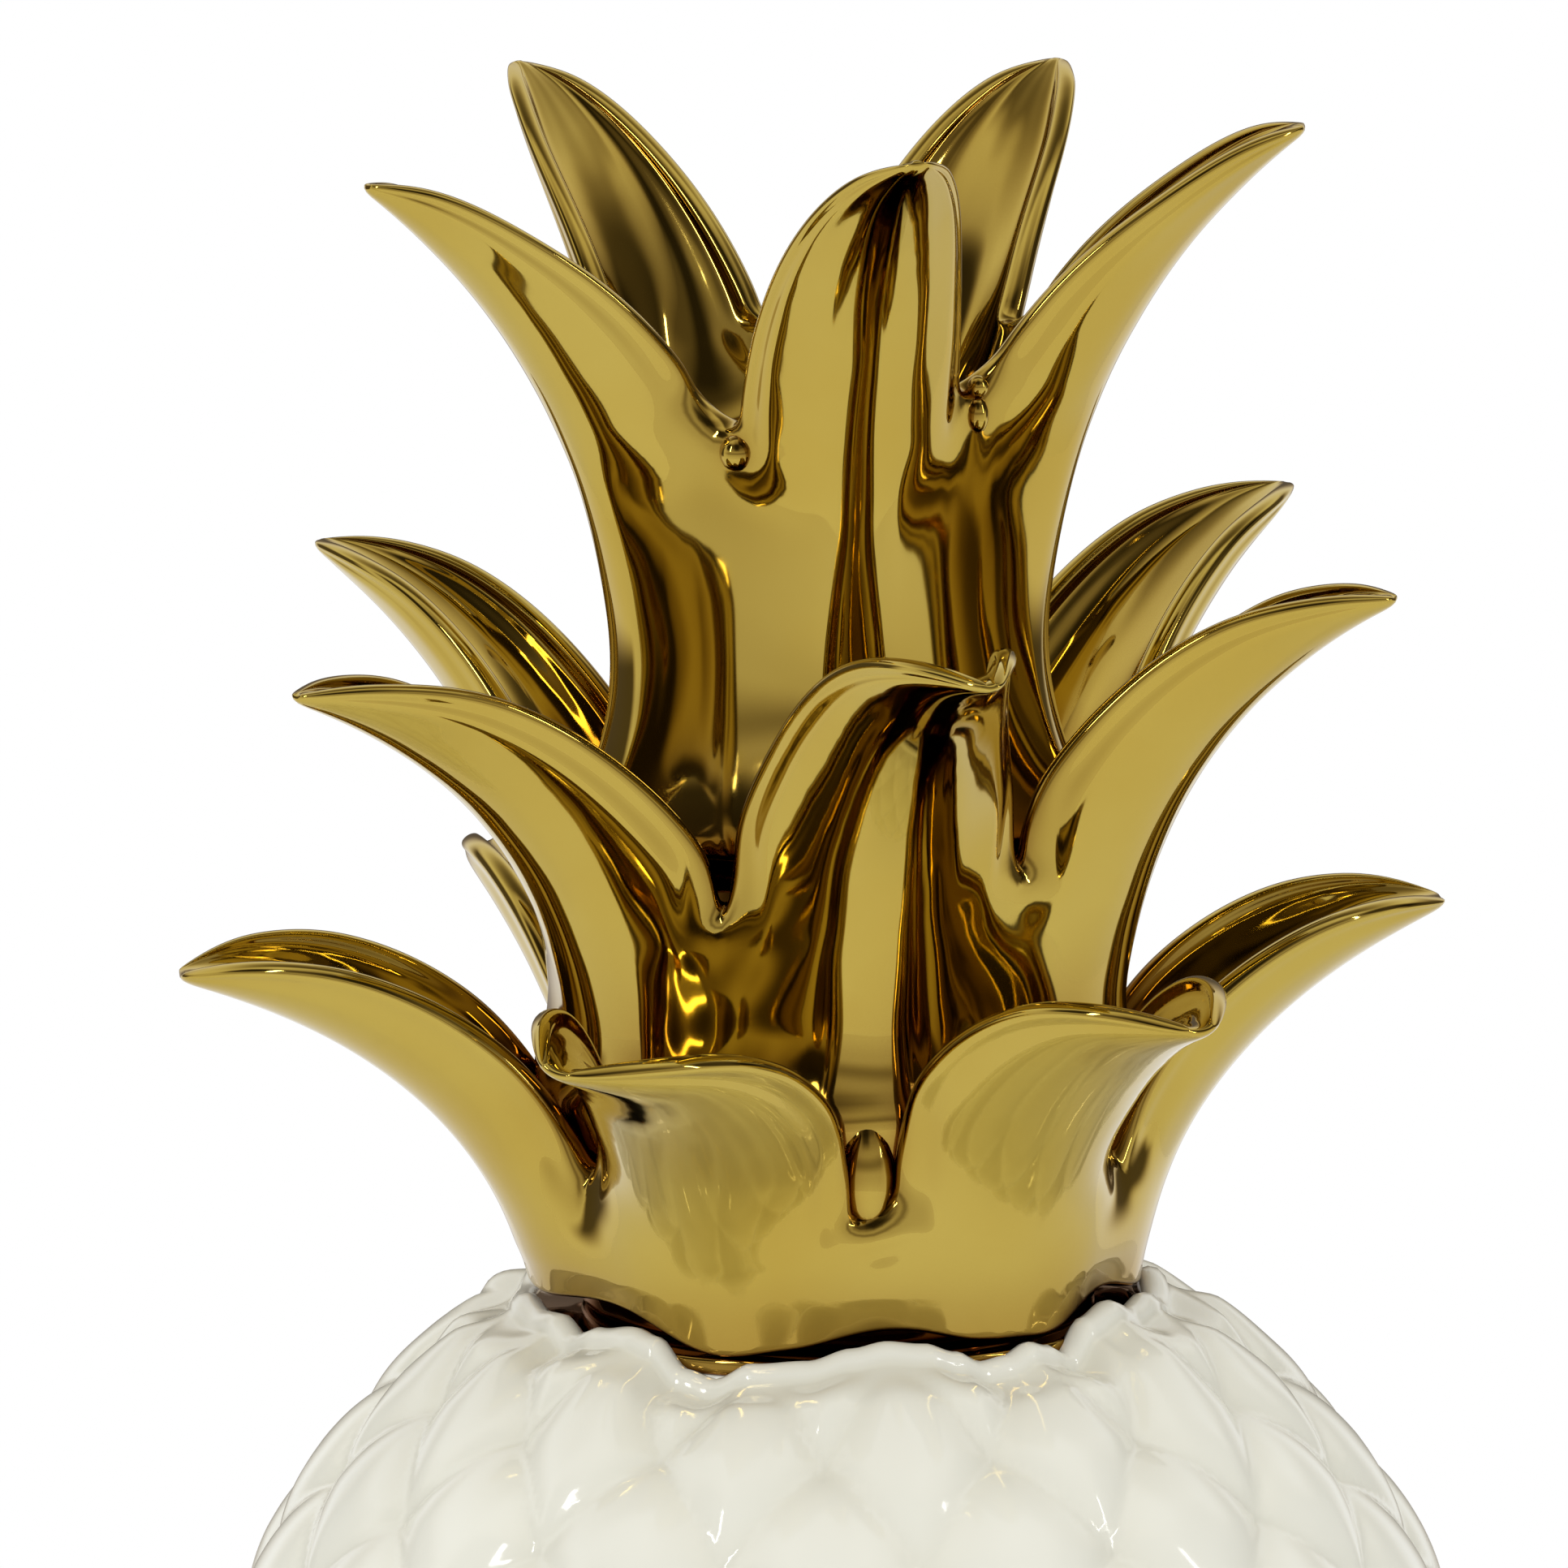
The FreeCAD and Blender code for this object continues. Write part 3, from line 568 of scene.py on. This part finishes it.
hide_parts(*["middle_leaf_" + str(number + 1) for number in range(6)])
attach(middle_petals, "crown_lid")


# ---- The upper petals ----
# Five tall leaves round the open cup at the top, joined into one smooth tube that flares at its luted foot
# and is filled out along the seams beside the front leaf.

upper_tier = dict(
    foot_z=upper_z, aside=-0.9, tube_r=24.0, reach=55.0, rise=78.0, width=31.0, cup=7.8, wall=3.4,
    first_heading=7.0, bead=1.35, relief=(0.10, 0.20, 0.18), relief_from=1, eased_from=0.5, passes=70,
    foot_flare=((7.5, 1.5), (4.0, 1.5), (1.6, 0.6), (0.4, 0)),
    seam_fill=(1.0, 0, 0, 0, 1.0), fill_rows=(0.0, 0.6, 1.5, 2.0, 1.6, 1.1, 0.4),
    keel_shares=((-0.005, 0.48), (0.305, 0.79)),
    width_shares=(0.94, 1.00, 0.82, 0.755, 0.58, 0.34, 0.07),
    cup_shares=(0.62, 0.66, 1.24, 1.04, 0.60, 0.30, 0.04),
    wall_shares=(1.00, 0.95, 0.88, 0.83, 0.72, 0.66, 0.40),
    arc_angles=(36.0, 38.0, 58.0, 76.0, 78.0, 70.0, 55.0))
upper_bends = (
    (4.1, 0.995, 1.023, 0.013, 5.0, 0.97, 0.84, 0.0, 3.2, 0.94, 0),
    (0.3, 0.999, 0.992, 0.002, 6.0, 1.08, 1.10, 0.0, 4.4, 0.92, 0),
    (-1.25, 1.004, 0.992, 0.00, 2.0, 1.00, 0.99, 0.0, 4.2, 0.92, 0),
    (-2.9, 0.976, 1.0079, 0.00, 0.0, 0.97, 0.92, 0.0, 4.4, 0.92, 0),
    (0.75, 1.009, 0.945, -0.006, 4.5, 1.00, 1.20, 0.0, 4.1, 0.89, 0))
upper_petals = petal_tier("upper_petals", upper_tier, upper_bends)
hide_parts(*["upper_leaf_" + str(number + 1) for number in range(5)])
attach(upper_petals, "crown_lid")


# ---- The glaze drops ----
# Drops of glaze that hung in the notches when they set, under the same lustre as the leaves. The last and
# largest fills the slot between the two front lower leaves.

def glaze_drops(name, drops, columns=24):
    """Drops as balls stretched down: for each the radius, heading and height of its middle, its width and length."""
    across = np.linspace(0, 2 * np.pi, columns, endpoint=False)
    down = np.radians(np.arange(-75, 76, 15))[:, None]
    ball = np.stack([np.cos(down) * np.cos(across), np.cos(down) * np.sin(across), np.sin(down) + 0 * across], axis=-1)
    points, faces = [], []
    for number, (radius, heading, height, width, length) in enumerate(drops):
        heading = np.radians(heading)
        middle = np.array([radius * np.sin(heading) + upper_tier["aside"], -radius * np.cos(heading), height])
        drop, drop_faces = closed_rings(middle + ball * (width / 2, width / 2, length / 2))
        faces += [[corner + number * len(drop) for corner in face] for face in drop_faces]
        points.append(drop)
    return make_piece(name, np.concatenate(points), faces, gold)


drops = glaze_drops("glaze_drops", (
    (24.6, -22.6, 266.0, 3.9, 4.1), (25.2, 43.0, 272.4, 2.4, 2.6), (25.4, 42.4, 269.3, 2.4, 4.0),
    (25.2, 115.0, 268.4, 3.4, 4.0), (25.0, 187.0, 268.0, 3.0, 3.6), (25.0, -101.0, 266.5, 3.2, 3.8),
    (32.5, 7.0, 187.0, 6.6, 14.6)))
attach(drops, "crown_lid")


# ---- The studio ----
# A white table, a room that is white behind the jar and dimmer in front with dark cards and stands, four soft
# boxes, of which the top and front ones aren't mirrored, and the camera.

table_radius, table_columns = 480.0, 96
table_heading = np.arange(table_columns) * 2 * np.pi / table_columns
table_rings = np.array([0.5, 0.9, 1.0])[:, None] * table_radius
table_grid = np.stack([table_rings * np.sin(table_heading), -table_rings * np.cos(table_heading),
                       0 * table_rings + 0 * table_heading], axis=-1)
table_white = bpy.data.materials.new("table_white")
table_white.use_nodes = True
feed(table_white.node_tree.nodes["Principled BSDF"], {"Base Color": (0.88, 0.88, 0.88, 1), "Roughness": 0.9})
table_points = np.concatenate([table_grid.reshape(-1, 3), [[0, 0, 0]]])
table_faces = [face[::-1] for face in ring_faces(len(table_rings), table_columns)]
table_faces += [[len(table_points) - 1, n, (n + 1) % table_columns] for n in range(table_columns)]
table = make_piece("table_top", table_points, table_faces, table_white)

world = bpy.data.worlds.new("studio")
bpy.context.scene.world = world
world.use_nodes = True
nodes = world.node_tree.nodes


def mapped(value, from_min, from_max, to_min, to_max, kind="LINEAR"):
    """A value carried from one range to another and held at its ends, evenly or by a smooth step."""
    node = nodes.new("ShaderNodeMapRange")
    node.interpolation_type = kind
    return feed(node, {"Value": value, "From Min": from_min, "From Max": from_max, "To Min": to_min,
                       "To Max": to_max}).outputs["Result"]


def blended(share, first, second, kind="FLOAT"):
    """The first of two numbers or colours where the share is 0, the second where it is 1."""
    node = nodes.new("ShaderNodeMix")
    node.data_type = kind
    return feed(node, {"Factor": share, "A": first, "B": second}).outputs["Result"]


def computed(operation, *values):
    """What a maths node makes of its values."""
    node = nodes.new("ShaderNodeMath")
    node.operation = operation
    return feed(node, dict(enumerate(values))).outputs["Value"]


def grey_ramp(share, stops):
    """A grey by a share, eased between stops of share and grey, the first of them at 0 and the last at 1."""
    node = feed(nodes.new("ShaderNodeValToRGB"), {"Fac": share})
    node.color_ramp.interpolation = "EASE"
    for place, grey in stops:
        stop = node.color_ramp.elements.new(place)
        stop.color = (grey, grey, grey, 1)
    node.color_ramp.elements.remove(node.color_ramp.elements[0])
    node.color_ramp.elements.remove(node.color_ramp.elements[-1])
    return node.outputs["Color"]


way = nodes.new("ShaderNodeTexCoord").outputs["Generated"]
parts = feed(nodes.new("ShaderNodeSeparateXYZ"), {"Vector": way}).outputs
rays = nodes.new("ShaderNodeLightPath").outputs

# What the lustre mirrors: greys by height in front, with a dark ceiling over the middle, and white behind
height_share = mapped(parts["Z"], -1, 1, 0, 1)
front = grey_ramp(height_share, ((0.0, 0.92), (0.28, 0.92), (0.42, 0.74), (0.50, 0.34), (0.58, 0.60), (0.70, 0.38),
                                 (0.78, 0.15), (0.88, 0.14), (1.0, 1.4)))
middle_dark = mapped(computed("ABSOLUTE", parts["X"]), 0.10, 0.42, 0.22, 1, "SMOOTHSTEP")
ceiling = blended(mapped(parts["Z"], 0.20, 0.42, 0, 1, "SMOOTHSTEP"), 1.0, middle_dark)
behind = mapped(parts["Y"], -0.55, 0.15, 0, 1)
room = blended(behind, computed("MULTIPLY", front, ceiling), 1.0)

# Dark cards a little behind both sides, and two dark stands, each round the direction that it stands in
around_share = mapped(parts["Y"], -1, 1, 0, 1)
cards = grey_ramp(around_share, ((0.0, 0), (0.49, 0), (0.60, 1), (0.84, 1), (0.93, 0), (1.0, 0)))
cards_height = grey_ramp(height_share, ((0.0, 0), (0.34, 0), (0.42, 1), (0.66, 1), (0.78, 0), (1.0, 0)))
left_over = mapped(computed("MULTIPLY", cards, cards_height), 0, 1, 1, 0.12)
stands = []
for towards, narrow, wide in (((0.898, 0.018, 0.433), 0.86, 0.97), ((-0.753, -0.378, 0.542), 0.93, 0.985)):
    facing = nodes.new("ShaderNodeVectorMath")
    facing.operation = "DOT_PRODUCT"
    feed(facing, {0: way, 1: towards})
    stands.append(mapped(facing.outputs["Value"], narrow, wide, 1.0, 0.10, "SMOOTHSTEP"))
mirrored = computed("MULTIPLY", computed("MULTIPLY", room, left_over), computed("MULTIPLY", *stands))

# Mirrored light is browner where it is dim, other light grows with height, and the camera sees plain white
dusk = blended(mirrored, (1, 0.80, 0.58, 1), (1, 1, 1, 1), "RGBA")
lit = blended(rays["Is Glossy Ray"], mapped(parts["Z"], -1, 1, 0.38, 0.94), mirrored)
feed(nodes["Background"], {"Color": blended(rays["Is Glossy Ray"], (1, 1, 1, 1), dusk, "RGBA"),
                           "Strength": blended(rays["Is Camera Ray"], lit, 1.0)})


def soft_box(name, place, aim, width, height, power):
    """A rectangular soft box at a place in millimetres, turned to face its aim."""
    light = bpy.data.lights.new(name, "AREA")
    light.shape = "RECTANGLE"
    light.size = width * MM
    light.size_y = height * MM
    light.energy = power
    lamp = bpy.data.objects.new(name, light)
    place, aim = np.array(place) * MM, np.array(aim) * MM
    back = (place - aim) / np.linalg.norm(place - aim)
    right = np.cross((0, 0, 1), back)
    right /= np.linalg.norm(right)
    up = np.cross(back, right)
    lamp.matrix_world = Matrix([[*row, spot] for row, spot in zip(np.stack([right, up, back], 1).tolist(), place)]
                               + [[0, 0, 0, 1]])
    bpy.context.scene.collection.objects.link(lamp)
    return lamp


soft_box("key_box", (-900, -900, 900), (0, 0, 180), 110, 700, 3.8)
soft_box("fill_box", (1000, -500, 600), (0, 0, 180), 45, 700, 1.7)
top_box = soft_box("top_box", (-100, 250, 1150), (0, 0, 200), 300, 300, 1.6)
top_box.visible_glossy = False
front_box = soft_box("front_box", (0, -1300, 1100), (0, 0, 120), 900, 600, 2.4)
front_box.visible_glossy = False

# The camera stands well back, a little above the crown, and leans half a degree
camera_tilt, camera_lean, camera_distance = np.radians(10.596), np.radians(0.601), 1568.0
aim_height, picture_side, sensor = 231.0, 1932, 36.0
pixels_per_mm, aim_right, aim_up = 11.0057, 60.34, 69.05
forward = np.array([0, np.cos(camera_tilt), -np.sin(camera_tilt)])
level_up = np.array([0, np.sin(camera_tilt), np.cos(camera_tilt)])
right = np.cos(camera_lean) * np.array([1, 0, 0]) - np.sin(camera_lean) * level_up
up = np.sin(camera_lean) * np.array([1, 0, 0]) + np.cos(camera_lean) * level_up
eye = (np.array([0, 0, aim_height]) - camera_distance * forward
       - right * aim_right / pixels_per_mm - up * aim_up / pixels_per_mm)
lens = bpy.data.cameras.new("camera")
lens.sensor_width = sensor
lens.lens = pixels_per_mm * camera_distance * sensor / picture_side
lens.clip_end = 20
camera = bpy.data.objects.new("camera", lens)
camera.matrix_world = Matrix([[*row, spot] for row, spot in zip(np.stack([right, up, -forward], 1).tolist(),
                                                                  eye * MM)] + [[0, 0, 0, 1]])
bpy.context.scene.collection.objects.link(camera)
bpy.context.scene.camera = camera
bpy.context.scene.view_settings.view_transform = "Standard"
